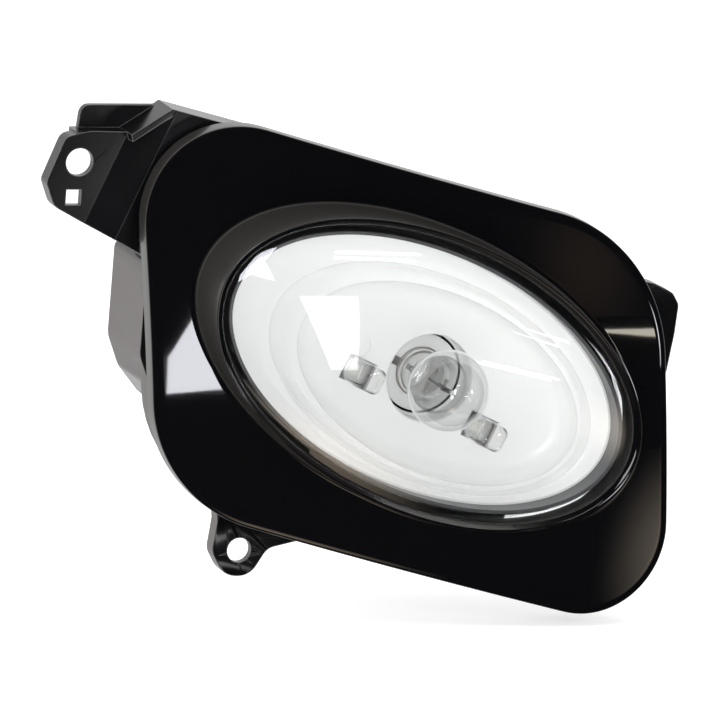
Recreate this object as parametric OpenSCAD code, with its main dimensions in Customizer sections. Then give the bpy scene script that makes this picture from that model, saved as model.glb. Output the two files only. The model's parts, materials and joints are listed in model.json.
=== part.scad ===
// Daytime running light for the front of a car: gloss bezel, oval clear lens, white stepped reflector,
// round bulb, two small light blocks, sealed housing and a moulded carrier with three fixing tabs.
// The lamp shines towards -Y. The origin is the centre of the upper tab's screw hole, on the tab's front.
// Lamp coordinates: the middle of the collar's rim is at zero and Y is the depth behind it.

/* [Front face] */
// Width of the face between the middles of its side edges
face_w = 165; // [158:1:172]
// Height of the face between the middles of its upper and lower edges
face_h = 120.5; // [115:0.5:126]
// Sideways place of the face's middle from the middle of the collar
face_x = -2.2; // [-4:0.1:0]
// Height of the face's middle above the middle of the collar
face_z = -1.2; // [-3:0.1:1]
// Fall of the upper and lower edges towards the right, in degrees
edge_fall = 14; // [12:0.1:16]
// Lean of the side edges to the left at the top, in degrees
side_lean = 3.6; // [2:0.1:5]
// Radius of the upper left corner
corner_ul = 30; // [26:1:34]
// Radius of the upper right corner
corner_ur = 47; // [42:1:50]
// Radius of the lower right corner
corner_lr = 26; // [22:1:30]
// Radius of the lower left corner
corner_ll = 40; // [36:1:44]
// Radius of the ball that the face is part of
crown_r = 420; // [400:5:480]
// Sideways place of the face's foremost point
crown_x = 8.4; // [4:0.2:12]
// Height of the face's foremost point
crown_z = -58.8; // [-62:0.2:-54]
// Distance of the face's foremost point in front of the collar's rim
crown_lead = 0.7; // [0:0.1:1.5]
// Wall of the face
face_t = 2.4; // [2:0.1:2.8]
// Depth of the edge that turns back round the face
return_depth = 6.4; // [5:0.1:7.5]

/* [Collar and lens] */
// Half length of the collar's rim
ring_a = 73.3; // [72.5:0.1:75]
// Half width of the collar's rim
ring_b = 41.7; // [41:0.1:43]
// Fall of the oval's long axis towards the right, in degrees
ring_tilt = 23.6; // [22:0.1:25]
// Widening of the collar for each millimetre of depth, at its narrow sides
collar_draft = 0.08; // [0.04:0.01:0.1]
// Width of the flat line at the front of the rim
rim_flat = 0.5; // [0.3:0.1:0.8]
// Half length of the lens
lens_a = 70.4; // [69:0.1:71]
// Half width of the lens
lens_b = 39.3; // [38:0.1:39.6]
// Depth of the lens's edge behind the rim
lens_y = 1.3; // [0.8:0.1:2]
// Rise of the lens's dome in front of its edge
dome_rise = 6.5; // [5:0.1:7.5]
// Wall of the lens
lens_t = 2; // [1.6:0.1:2.2]
// Gap between the lens and the collar
lens_gap = 0.3; // [0.2:0.1:0.5]
// Depth of the front of the lens's rear flange
flange_y = 20; // [19:0.5:21]
// Width of the lens's rear flange beyond its skirt
flange_w = 3; // [2.4:0.1:3.4]
// Thickness of the lens's rear flange
flange_t = 2; // [1.6:0.1:2.4]
// Thickness of the seal behind the lens
seal_t = 1; // [0.8:0.1:1.4]
// Width of the seal behind the lens
seal_w = 2; // [1.6:0.1:2.4]

/* [Reflector] */
// Depth of the reflector's rim
rim_y = 11; // [9:0.5:13]
// Wall of the dark shroud between lens and reflector
shroud_t = 1.2; // [1:0.1:1.6]
// Wall of the reflector
bowl_t = 1.8; // [1.4:0.1:2]
// Sag of the outer dish
dish_sag = 5.5; // [4:0.1:6]
// Wall of the skirt behind the rim
skirt_t = 1.4; // [1.2:0.1:1.5]
// Flat land between the shroud and the dish
dish_land = 0.7; // [0.5:0.1:1]
// Half length of the outer step's mouth
step_a = 56; // [54.5:0.1:56.4]
// Half width of the outer step's mouth
step_b = 31.2; // [30.2:0.1:31.4]
// Place of the outer step's mouth along the oval
step_u = 7.4; // [6.2:0.1:7.6]
// Place of the outer step's mouth across the oval
step_v = -1.8; // [-2:0.1:-1]
// Depth of the inner bowl's rim
bowl_y = 24; // [22:0.5:25]
// Half length of the inner bowl
bowl_a = 48.6; // [46:0.1:49]
// Half width of the inner bowl
bowl_b = 27.2; // [26:0.1:27.4]
// Width of the ledge round the inner bowl
bowl_ledge = 1.3; // [1:0.1:1.6]
// Depth of the inner bowl's floor below its rim
bowl_depth = 7; // [6.6:0.1:8]
// Height of the line round the inner bowl's rim
bowl_lip = 0.6; // [0.4:0.1:1]
// Radius of the cove between the bowl's wall and floor
cove_r = 6.4; // [5:0.1:6.5]
// Radius of the opening for the bulb
bulb_hole_r = 13.5; // [13.1:0.1:14.5]
// Length of the tube behind that opening
neck_h = 8; // [6:0.5:9]
// Radius of the small round mark on the bowl's floor
mark_r = 3.3; // [2.5:0.1:4]
// Depth of the small round mark
mark_t = 0.4; // [0.3:0.1:0.6]

/* [Bulb] */
// Place of the bulb along the oval
optic_u = 13.5; // [13:0.1:14]
// Place of the bulb across the oval
optic_v = -2.7; // [-3:0.1:-2.4]
// Radius of the glass ball
ball_r = 12.5; // [12:0.1:12.5]
// Depth of the ball's middle
ball_y = 14; // [13:0.5:15]
// Wall of the glass
glass_t = 0.8; // [0.6:0.1:1]
// Distance from the ball's middle to the bayonet pins
light_length = 31.8; // [31:0.1:32.5]
// Radius of the metal cap
cap_r = 7.5; // [7.3:0.1:7.6]
// Wall of the metal cap
cap_t = 0.5; // [0.4:0.1:0.6]

/* [Light blocks] */
// Distance between the two light blocks
block_pitch = 44; // [42:0.5:46]
// Distance of the blocks below the bulb
block_drop = 7.3; // [6:0.1:8]
// Length of a block's face
block_w = 9.4; // [8.5:0.1:10]
// Width of a block's face
block_h = 7.9; // [7:0.1:8.5]
// Depth of the blocks' front
block_y = 20; // [18:0.5:22]
// Overhang of the foot that stops a block behind the floor
block_foot = 1.7; // [1.4:0.1:2]
// Thickness of that foot
foot_t = 1.5; // [1.2:0.1:1.8]
// Side of a light chip
chip_w = 3.5; // [3:0.1:4]
// Height of a light chip
chip_t = 0.7; // [0.5:0.1:0.9]
// Thickness of the circuit board
board_t = 1.6; // [1:0.2:2]

/* [Housing] */
// Wall of the housing
shell_t = 2.4; // [2:0.1:2.8]
// Depth of the housing's rear face
rear_y = 54.5; // [54:0.5:58]
// Half width of the housing's rear end
rear_b = 31.2; // [30:0.1:34]
// Depth of the plane where the housing sits on the carrier
seat_y = 32; // [31.5:0.5:33]
// Place along the oval of the four housing screws, each side of the middle
lug_u = 51; // [50:0.5:52]
// Place across the oval of the four housing screws, each side of the middle
lug_v = 40; // [39.5:0.5:41]
// Radius of the opening for the bulb holder
holder_hole_r = 12.2; // [12:0.1:12.6]
// Number of stiffening ribs round the housing
shell_ribs = 8; // [6:2:10]
// Length of the two connector sockets behind their walls
socket_l = 13.5; // [12:0.5:16]
// Wall of the two connector sockets
socket_t = 1.5; // [1.2:0.1:1.8]

/* [Carrier] */
// Sideways distance from the upper screw hole to the middle of the collar
hole_x = 102.3; // [101:0.1:104]
// Depth of the upper screw hole's tab behind the collar's rim
hole_y = 40; // [39:0.5:42]
// Height of the upper screw hole above the middle of the collar
hole_z = 56.2; // [55:0.1:57]
// Radius of the upper screw hole
upper_hole_r = 4.25; // [4:0.05:4.5]
// Radius of the lower screw hole
lower_hole_r = 3.75; // [3.5:0.05:4]
// Side of the square locating hole
square_w = 4.7; // [4.5:0.1:5]
// Wall of the carrier
web_t = 2.5; // [2.2:0.1:2.8]
// Depth of the carrier's web behind the face
web_d = 11.5; // [11:0.5:12.5]
// Height of the ribs on the back of the web
rib_h = 6; // [4:0.5:7]
// Thickness of the ribs
rib_t = 1.6; // [1.4:0.1:2]
// Depth of the rims round the tabs
tab_rim = 5.5; // [4.5:0.5:6.5]
// Angle of the folds in the upper arm from the upright, in degrees
fold_lean = 22.8; // [20:0.2:25]
// Step forward of the arm between its two folds
fold_step = 4.5; // [4:0.5:5.5]
// Rear depth of the box beside the housing
side_y = 56; // [52:1:60]

/* [Screws] */
// Radius of the screws' shanks
shank_r = 1.5; // [1.3:0.1:1.6]
// Radius of the screws' heads
head_r = 3.6; // [3.2:0.1:3.9]
// Height of the screws' heads
head_h = 2.4; // [2:0.1:2.8]
// Radius of the screw bosses
boss_r = 4.2; // [4:0.1:4.6]

/* [Hidden] */
$fn = 96;
fit = 0.3;
hair = 0.1;
face_arc_n = 10;
far = 200;

// Face
face_corners = [
    for (side = [[-1, 1], [1, 1], [1, -1], [-1, -1]])
        [face_x + side[0] * face_w / 2 - side[1] * face_h / 2 * tan(side_lean),
         face_z - side[0] * face_w / 2 * tan(edge_fall) + side[1] * face_h / 2]];
face_radii = [corner_ul, corner_ur, corner_lr, corner_ll];
carrier_inset = face_t + fit;

// Lens
skirt_a = lens_a - lens_t;
skirt_b = lens_b - lens_t;
flange_back = flange_y + flange_t;
shell_front = flange_back + seal_t;
shell_a = lens_a + flange_w;
shell_b = lens_b + flange_w;

// Reflector
shroud_a = skirt_a - fit;
shroud_b = skirt_b - fit;
shroud_front = lens_y + lens_t + fit;
dish_a = shroud_a - shroud_t - dish_land;
dish_b = shroud_b - shroud_t - dish_land;
floor_y = bowl_y + bowl_depth;
floor_back = floor_y + bowl_t;
ledge_y = shell_front + 3;
neck_y = floor_y + neck_h;
mark_u = optic_u - 25;

// Light blocks and board
block_spots = [optic_u - block_pitch / 2, optic_u + block_pitch / 2];
block_v = optic_v - block_drop;
foot_back = floor_back + foot_t;
chip_y = foot_back + fit;
board_y = chip_y + chip_t;
board_back = board_y + board_t;
board_screw_u = [optic_u - block_pitch / 2 - 10, optic_u + block_pitch / 2 + 10];
board_low = block_v - 13;
board_high = block_v + 6;
board_points = [[board_screw_u[0] - 9, board_low], [board_screw_u[1] - 14, board_low],
    [board_screw_u[1] + 4, board_low + 8], [board_screw_u[1] + 4, board_high],
    [board_screw_u[0] - 9, board_high]];
pin_u = optic_u - 29;
pin_v = block_v - 8;
pin_w = 0.64;
pin_pitch = 2.54;
pin_count = 4;

// Bulb
neck_glass_r = cap_r - cap_t - fit;
pin_y = ball_y + light_length;
cap_front = pin_y - 8;
cap_back = pin_y + 7;
glass_back = cap_front + 5;
stem_y = ball_y + 13;
stem_r = 2.6;
coil_y = ball_y;
post_r = 0.35;
coil_r = 0.75;
coil_l = 5;
contact_y = cap_back + 1.6;
recess_r = 4;
recess_y = contact_y + 0.7;

// Housing
wall_y = rear_y - shell_t;
shell_mid = ledge_y + shell_t;
ledge_a = shroud_a - skirt_t + 0.2;
ledge_b = shroud_b - skirt_t + 0.2;
lug_spots = [for (i = [-1, 1]) for (j = [-1, 1]) [i * lug_u, j * lug_v]];
lug_r = boss_r + 1;
lip_a = shell_a + 2.6;
lip_b = shell_b + 2.6;
lip_t = 2.5;
holder_r = holder_hole_r - 0.2;
lug_out = holder_hole_r + 2.4;
gasket_t = 1.5;
gasket_out = lug_out + 2;
plate_y = rear_y + gasket_t;
plate_t = 2.4;
plate_r = gasket_out + 0.6;
vent_at = [optic_u - 33, optic_v + 15];
vent_r = 3.2;
vent_l = 5.5;
socket_w = 12;
socket_h = 7.6;
socket_back = rear_y + socket_l;
plug_y = plate_y + plate_t;

// Carrier
hole_a = shell_a + 3;
hole_b = shell_b + 3;
bezel_spots = [[-68, 54], [55, 31], [66, -61], [-57, -31]];
arm_points = [[-107.2, 64], [-99.6, 65.8], [-87.6, 65.6], [-75.6, 73.6], [-48, 66.6], [-52, 44],
    [-72, 30], [-79, 27.2], [-87.6, 31.8], [-99.8, 37.6], [-109.4, 42.6], [-112.4, 50]];
arm_radii = [3.4, 3, 2, 2, 2, 2, 2, 2, 4, 4, 4.6, 3];
fold_p = -106.2;
fold_q = -96.6;
fold_far = 60;
low_hole = [-50, -58];
low_points = [[-30, -38], [-20, -50], [-31, -55], [-41, -57.4], [-46, -66], [-54.2, -66],
    [-58.6, -58.6], [-57.6, -49], [-60.6, -30]];
low_radii = [2, 2, 3, 5, 6.4, 6.4, 5, 4, 2];
low_y = 18;
ear_points = [[66, 26], [78, 23.4], [84, 20.6], [86.2, 17], [85.6, 8], [83.8, -5], [76, -12], [66, -6]];
ear_radii = [2, 6, 3, 3, 8, 5, 3, 2];
ear_y = 23;
side_points = [[-72, 29], [-72, 6], [-64, -16], [-71, -19.6], [-79.6, -9.6], [-83.6, 0], [-83.6, 29]];
side_radii = [2, 3, 2, 4, 8, 8, 2];
flange_front = hole_y + 8;
flange_top = 72.4;
ledge_z = 65.4;

// Mitred inset of corner i of a polygon that runs clockwise, by distance d
function unit(v) = v / norm(v);
function left_of(v) = [-v[1], v[0]];
function inset_corner(p, i, d) =
    let (n = len(p), a = unit(p[i] - p[(i + n - 1) % n]), b = unit(p[(i + 1) % n] - p[i]))
    let (m = unit(left_of(a) + left_of(b)))
    p[i] - d / (m * left_of(a)) * m;
// Points of a polygon with each corner rounded by its own radius and every side moved in by d
function rounded(p, radii, d = 0, arc_n = 5) =
    let (n = len(p), q = [for (i = [0 : n - 1]) inset_corner(p, i, d)])
    [for (i = [0 : n - 1])
        let (a = unit(q[i] - q[(i + n - 1) % n]), b = unit(q[(i + 1) % n] - q[i]),
             turn = a[0] * b[1] - a[1] * b[0], s = sign(turn),
             r = max(hair, radii[i] + s * d), half = acos(max(-1, min(1, a * b))) / 2,
             centre = q[i] - a * r * tan(half) + s * left_of(a) * r,
             start = atan2(-s * left_of(a)[1], -s * left_of(a)[0]))
        for (k = [0 : arc_n]) centre + r * [cos(start + s * 2 * half * k / arc_n),
                                            sin(start + s * 2 * half * k / arc_n)]];
module face_shape(d = 0) polygon(rounded(face_corners, face_radii, d, face_arc_n));
// Depth of the surface that lies d behind the face, at one place
function skin_y(p, d) = crown_r - crown_lead
    - sqrt(pow(crown_r - d, 2) - pow(p[0] - crown_x, 2) - pow(p[1] - crown_z, 2));

module in_place() translate([hole_x, -hole_y, -hole_z]) children();
// Turns the oval's own axes into place: children have the long axis along X
module oval_axes() rotate([0, ring_tilt, 0]) children();
// A flat shape drawn as X and Z, filled from depth y0 to depth y1
module slab(y0, y1) translate([0, y1, 0]) rotate([90, 0, 0]) linear_extrude(y1 - y0) children();
// An oval is a stretched circle, made in quarters so that its curves stay true
module oval_shape(a, b) for (i = [-1, 1]) for (j = [-1, 1]) scale([i * a / b, j]) intersection() {
    circle(r = b);
    square(b + 1);
}
module oval(a, b, y0, y1) slab(y0, y1) oval_shape(a, b);
module oval_ring(a, b, w, y0, y1) slab(y0, y1) difference() {
    oval_shape(a, b);
    oval_shape(a - w, b - w);
}
// Straight oval funnel from one oval to a similar one
module oval_cone(a, b, b_end, y0, y1) translate([0, y0, 0]) scale([a / b, 1, 1])
    rotate([-90, 0, 0]) cylinder(r1 = b, r2 = b_end, h = y1 - y0);
// Cap of a stretched ball: side is -1 for a dome to the front and 1 for a dish to the back
module oval_cap(a, b, rise, y, side) {
    r = (b * b + rise * rise) / (2 * rise);
    base = side < 0 ? y - rise - 1 : y;
    intersection() {
        translate([0, y - side * (r - rise), 0]) scale([a / b, 1, 1]) sphere(r = r, $fn = 140);
        oval(a, b, base, base + rise + 1);
    }
}
module rod(r, y0, y1) translate([0, y0, 0]) rotate([-90, 0, 0]) cylinder(r = r, h = y1 - y0);
module turned() rotate([-90, 0, 0]) rotate_extrude() children();
module at(u, v) translate([u, 0, v]) children();
module block(w, h, y0, y1) translate([-w / 2, y0, -h / 2]) cube([w, y1 - y0, h]);
// Everything behind the surface that lies d behind the face
module behind(d) translate([crown_x, crown_r - crown_lead, crown_z])
    sphere(r = crown_r - d, $fn = 360);
module layer(d0, d1) difference() {
    behind(d0);
    behind(d1);
}
module screw(y_head, y_tip) {
    rod(head_r, y_head, y_head + head_h);
    rod(shank_r, y_tip, y_head + hair);
}

// Gloss front: skin, turned edge, raised collar and screw bosses
module bezel() color("#0b0b0d") in_place() difference() {
    union() {
        intersection() {
            slab(-10, 60) face_shape();
            layer(0, face_t);
        }
        intersection() {
            slab(-10, 60) difference() {
                face_shape();
                face_shape(face_t);
            }
            layer(face_t / 2, return_depth);
        }
        difference() {
            oval_axes() oval_cone(ring_a, ring_b, ring_b + 30 * collar_draft, 0, 30);
            behind(face_t);
        }
        for (p = bezel_spots) intersection() {
            at(p[0], p[1]) rod(boss_r, -10, 60);
            layer(face_t / 2, web_d - fit);
        }
    }
    oval_axes() oval(lens_a + lens_gap, lens_b + lens_gap, -10, 60);
    oval_axes() oval_cone(ring_a - rim_flat, ring_b - rim_flat, lens_b + lens_gap, -hair / 100, lens_y);
    for (p = bezel_spots) at(p[0], p[1])
        rod(shank_r + hair, skin_y(p, face_t) + 1.5, 60);
}

// Clear cover: dome, skirt and rear flange
module cover_lens() color("#e8f0f2", 0.35) in_place() oval_axes() difference() {
    union() {
        oval_cap(lens_a, lens_b, dome_rise, lens_y, -1);
        oval(lens_a, lens_b, lens_y, flange_back);
        oval(shell_a, shell_b, flange_y, flange_back);
    }
    oval_cap(skirt_a, skirt_b, dome_rise, lens_y + lens_t, -1);
    oval(skirt_a, skirt_b, lens_y + lens_t, flange_back + 1);
}

module lens_seal() color("#202020") in_place() oval_axes()
    oval_ring(lens_a + seal_w / 2, lens_b + seal_w / 2, seal_w, flange_back, shell_front);

// Dark wall between the lens and the reflector
module inner_shroud() color("#4a4a4c") in_place() oval_axes()
    oval_ring(shroud_a, shroud_b, shroud_t, shroud_front, rim_y);

// Stations of the bowl's wall, each an oval: half length, half width, place along, place across, depth
function cove(grow, t) = [bowl_a + grow - cove_r * (1 - cos(t)), bowl_b + grow - cove_r * (1 - cos(t)),
    optic_u, optic_v, floor_y + grow - cove_r * (1 - sin(t))];
bowl_inside = concat(
    [[shroud_a, shroud_b, 0, 0, rim_y],
     [dish_a, dish_b, 0, 0, rim_y]],
    [for (k = [1 : 3]) let (f = k / 4)
        [dish_a + f * (step_a - dish_a), dish_b + f * (step_b - dish_b), f * step_u, f * step_v,
         rim_y + dish_sag * sin(90 * f)]],
    [[step_a, step_b, step_u, step_v, rim_y + dish_sag],
     [bowl_a + bowl_ledge, bowl_b + bowl_ledge, optic_u, optic_v, bowl_y - bowl_lip],
     [bowl_a, bowl_b, optic_u, optic_v, bowl_y - bowl_lip]],
    [for (t = [0 : 15 : 90]) cove(0, t)],
    [[bulb_hole_r, bulb_hole_r, optic_u, optic_v, floor_y],
     [bulb_hole_r, bulb_hole_r, optic_u, optic_v, neck_y]]);
bowl_outside = concat(
    [[bulb_hole_r + bowl_t, bulb_hole_r + bowl_t, optic_u, optic_v, neck_y],
     [bulb_hole_r + bowl_t, bulb_hole_r + bowl_t, optic_u, optic_v, floor_back]],
    [for (t = [90 : -15 : 0]) cove(bowl_t, t)],
    [[step_a + bowl_t / 2, step_b + bowl_t / 2, step_u, step_v, rim_y + dish_sag + bowl_t],
     [shroud_a - skirt_t, shroud_b - skirt_t, 0, 0, rim_y + dish_sag + bowl_t],
     [shroud_a - skirt_t, shroud_b - skirt_t, 0, 0, ledge_y],
     [shroud_a, shroud_b, 0, 0, ledge_y]]);
// A closed wall through oval stations: the last station joins the first
module oval_loft(stations, sides) {
    m = len(stations);
    polyhedron(
        points = [for (s = stations) for (k = [0 : sides - 1])
            [s[2] + s[0] * cos(k * 360 / sides), s[4], s[3] + s[1] * sin(k * 360 / sides)]],
        faces = [for (i = [0 : m - 1]) for (k = [0 : sides - 1])
            let (p = i * sides + k, q = i * sides + (k + 1) % sides,
                 r = (i + 1) % m * sides + k, t = (i + 1) % m * sides + (k + 1) % sides)
            for (f = [[p, t, q], [p, r, t]]) f]);
}
// White bowl in soft steps, with its outer skirt, bulb opening, block windows and board posts
module reflector() color("#f2f2f0") in_place() oval_axes() difference() {
    union() {
        oval_loft(concat(bowl_inside, bowl_outside), 64);
        for (u = board_screw_u) at(u, block_v) rod(boss_r - 1, floor_y + 1, board_y);
    }
    for (u = block_spots) at(u, block_v) block(block_w + fit, block_h + fit, floor_y - 1, floor_back + 1);
    at(mark_u, optic_v) rod(mark_r, floor_y - 1, floor_y + mark_t);
    for (u = board_screw_u) at(u, block_v) rod(shank_r + hair, floor_back + 1, board_y + 1);
}

module light_block(u) at(u, block_v) union() {
    block(block_w, block_h, block_y, foot_back);
    block(block_w + 2 * block_foot, block_h + 2 * block_foot, floor_back, foot_back);
}
module light_block_left() color("#dfe6e8", 0.5) in_place() oval_axes() light_block(block_spots[0]);
module light_block_right() color("#dfe6e8", 0.5) in_place() oval_axes() light_block(block_spots[1]);
module light_chip_left() color("#dcd8b4") in_place() oval_axes()
    at(block_spots[0], block_v) block(chip_w, chip_w, chip_y, board_y);
module light_chip_right() color("#dcd8b4") in_place() oval_axes()
    at(block_spots[1], block_v) block(chip_w, chip_w, chip_y, board_y);

module circuit_board() color("#dcdcd6") in_place() oval_axes() difference() {
    slab(board_y, board_back) polygon(board_points);
    at(optic_u, optic_v) rod(bulb_hole_r + bowl_t + fit, board_y - 1, board_back + 1);
    for (u = board_screw_u) at(u, block_v) rod(shank_r + 0.2, board_y - 1, board_back + 1);
}
module board_screws() color("#a8a8ac") in_place() oval_axes()
    for (u = board_screw_u) at(u, block_v) screw(board_back, floor_back + 1.2);

module glass_form(cut) turned() {
    intersection() {
        translate([0, ball_y]) circle(r = ball_r - cut);
        translate([0, 0]) square([ball_r, 60]);
    }
    polygon([[0, ball_y], [ball_r - cut - 0.9, ball_y + 4.6], [neck_glass_r - cut, ball_y + 16],
        [neck_glass_r - cut, glass_back - cut], [0, glass_back - cut]]);
}
module bulb_glass() color("#eef4f6", 0.3) in_place() oval_axes() at(optic_u, optic_v) union() {
    difference() {
        glass_form(0);
        glass_form(glass_t);
    }
    rod(stem_r, stem_y, glass_back - glass_t / 2);
}
module bulb_filament() color("#6a6a70") in_place() oval_axes() at(optic_u, optic_v) union() {
    for (s = [-1, 1]) translate([s * 1.9, 0, 0]) rod(post_r, coil_y, stem_y);
    translate([-coil_l / 2, coil_y, 0]) rotate([0, 90, 0]) cylinder(r = coil_r, h = coil_l);
}
module bulb_cap() color("#c6c4bc") in_place() oval_axes() at(optic_u, optic_v) union() {
    difference() {
        rod(cap_r, cap_front, cap_back);
        rod(cap_r - cap_t, cap_front - 1, cap_back - 2);
    }
    for (s = [0, 180]) rotate([0, s, 0]) translate([cap_r - cap_t, pin_y, 0]) rotate([0, 90, 0])
        cylinder(r = 1, h = 1.4 + cap_t);
}
module bulb_contact() color("#b8b8b8") in_place() oval_axes() at(optic_u, optic_v)
    rod(2.3, cap_back, contact_y);

// Bayonet holder: tube round the cap, floor with two terminal slots, locking lugs, plate and plug socket
module bulb_holder() color("#a8a8a4") in_place() oval_axes() at(optic_u, optic_v) difference() {
    union() {
        rod(holder_r, cap_front + 2, plate_y + plate_t);
        rod(plate_r, plate_y, plate_y + plate_t);
        for (a = [0, 120, 240]) rotate([0, a, 0])
            translate([holder_r - 1, wall_y - 2.2, -2.5]) cube([lug_out - holder_r + 0.6, 2, 5]);
        block(socket_w + 2 * socket_t, socket_h + 2 * socket_t, plug_y - 1, plug_y + socket_l);
        for (s = [-1, 1]) translate([s * (plate_r - 3) - 1, plug_y - 1, -4]) cube([2, 6, 8]);
    }
    rod(cap_r + fit, cap_front + 1, cap_back + fit);
    rod(recess_r, cap_back, recess_y);
    for (a = [0, 180]) rotate([0, a, 0]) translate([0, cap_front + 1, -1.4])
        cube([cap_r + 2.2, pin_y + 1.4 - cap_front - 1, 2.8]);
    block(socket_w, socket_h, plug_y + 1, plug_y + socket_l + 1);
    for (s = [-1, 1]) translate([s * 2.5, 0, 0]) block(2.7, 0.9, contact_y, plug_y + 2);
}
module holder_terminals() color("#c6c4bc") in_place() oval_axes() at(optic_u, optic_v)
    for (s = [-1, 1]) translate([s * 2.5, 0, 0]) union() {
        block(2.6, 0.8, contact_y + fit, plug_y + socket_l - 6);
        block(2.6, 2.2, contact_y + hair, recess_y);
    }
module holder_seal() color("#303030") in_place() oval_axes() at(optic_u, optic_v) difference() {
    rod(gasket_out, rear_y, plate_y);
    rod(lug_out + 0.6, rear_y - 1, plate_y + 1);
}

module shell_hull(grow) oval_cone(shell_a + grow, shell_b + grow, rear_b + grow, ledge_y, rear_y);
// Cup behind the lens: front rim, ledge, tapered wall, fixing lip with lugs, ribs, rear wall, sockets
module rear_housing() color("#3a3a3d") in_place() oval_axes() difference() {
    union() {
        oval(shell_a, shell_b, shell_front, ledge_y + hair);
        shell_hull(0);
        oval(lip_a, lip_b, seat_y, seat_y + lip_t);
        for (p = lug_spots) {
            at(p[0], p[1]) rod(lug_r, seat_y, seat_y + lip_t);
            at(p[0], p[1] - sign(p[1]) * lug_r) block(2 * lug_r, 2 * lug_r, seat_y, seat_y + lip_t);
        }
        intersection() {
            for (i = [0 : shell_ribs - 1]) rotate([0, (i + 0.5) * 360 / shell_ribs, 0])
                translate([0, seat_y + 1, -rib_t / 2]) cube([far, wall_y - seat_y - 4, rib_t]);
            oval_cone(lip_a - 0.6, lip_b - 0.6, rear_b + 0.6, seat_y, rear_y);
        }
        at(vent_at[0], vent_at[1]) rod(vent_r, rear_y - 1, rear_y + vent_l);
        at(pin_u, pin_v) block(socket_w + 2 * socket_t, socket_h + 2 * socket_t, rear_y - 1, socket_back);
        at(pin_u, pin_v + socket_h / 2 + socket_t) block(4, 2.4, rear_y - 1, socket_back - 3);
    }
    oval(shroud_a + fit, shroud_b + fit, shell_front - 1, ledge_y);
    oval(ledge_a, ledge_b, ledge_y - 1, shell_mid + hair);
    oval_cone(shroud_a - 1, shroud_b - 1, rear_b - shell_t, shell_mid, wall_y);
    for (p = lug_spots) at(p[0], p[1]) rod(shank_r + 0.4, seat_y - 1, seat_y + lip_t + 1);
    at(optic_u, optic_v) rod(holder_hole_r, wall_y - 1, rear_y + 1);
    at(optic_u, optic_v) for (a = [0, 120, 240]) rotate([0, a + 50, 0])
        translate([0, wall_y - 1, -3]) cube([lug_out, shell_t + 2, 6]);
    at(vent_at[0], vent_at[1]) rod(vent_r - 1.4, wall_y - 1, rear_y + vent_l + 1);
    at(pin_u, pin_v) block(socket_w, socket_h, rear_y, socket_back + 1);
    for (i = [0 : pin_count - 1]) at(pin_u + (i - (pin_count - 1) / 2) * pin_pitch, pin_v)
        block(pin_w + hair, pin_w + hair, wall_y - 1, rear_y + 1);
}
module connector_pins() color("#c8c8cc") in_place() oval_axes()
    for (i = [0 : pin_count - 1]) at(pin_u + (i - (pin_count - 1) / 2) * pin_pitch, pin_v)
        block(pin_w, pin_w, board_back, socket_back - 6);
module vent_cap() color("#1c1c1c") in_place() oval_axes() at(vent_at[0], vent_at[1]) difference() {
    union() {
        rod(vent_r + 2, rear_y + 1.5, rear_y + vent_l + 2.4);
        rod(vent_r + 2.8, rear_y + 1.5, rear_y + 3);
    }
    rod(vent_r + hair, rear_y, rear_y + vent_l + 0.6);
    for (a = [0, 60, 120]) rotate([0, a, 0]) block(far, 1, rear_y, rear_y + 2.3);
}
module housing_screws() color("#a8a8ac") in_place() oval_axes()
    for (p = lug_spots) at(p[0], p[1]) screw(seat_y + lip_t, seat_y - 6);

// Tab profile seen along its folds: flat, step forward, flat
module fold_sheet(d) oval_free() linear_extrude(2 * far, center = true) polygon([
    [-far, hole_y], [fold_p, hole_y], [fold_q, hole_y - fold_step], [fold_far, hole_y - fold_step],
    [fold_far, hole_y - fold_step + d], [fold_q + 0.4 * d, hole_y - fold_step + d],
    [fold_p + 0.4 * d, hole_y + d], [-far, hole_y + d]]);
module oval_free() rotate([0, fold_lean, 0]) children();
// Upper arm: folded skin, rim that turns back, ledge and upright flange, roof to the carrier
module upper_arm() {
    intersection() {
        slab(0, 80) polygon(rounded(arm_points, arm_radii));
        fold_sheet(web_t);
    }
    intersection() {
        slab(0, 80) difference() {
            polygon(rounded(arm_points, arm_radii));
            polygon(rounded(arm_points, arm_radii, 2));
        }
        fold_sheet(tab_rim);
    }
    translate([-103.5, hole_y + 0.5, ledge_z - 2]) cube([28, flange_front - hole_y, 2]);
    slab(flange_front - 1, flange_front + 1) polygon(rounded(
        [[-101.4, ledge_z - 2], [-100.6, flange_top], [-74, flange_top], [-76, ledge_z - 2]],
        [0.5, 3, 1, 0.5]));
    slab(skin_y([-75, 70], web_d) - 5, flange_front + 1) polygon([[-88, 65.6], [-75.6, 73.6], [-48, 66.6],
        [-48, 64.4], [-75.4, 71.3], [-87.4, 63.4]]);
}
module tab(points, radii, y, rim) union() {
    slab(y, y + web_t) polygon(rounded(points, radii));
    slab(y, y + rim) difference() {
        polygon(rounded(points, radii));
        polygon(rounded(points, radii, 2));
    }
}
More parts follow.
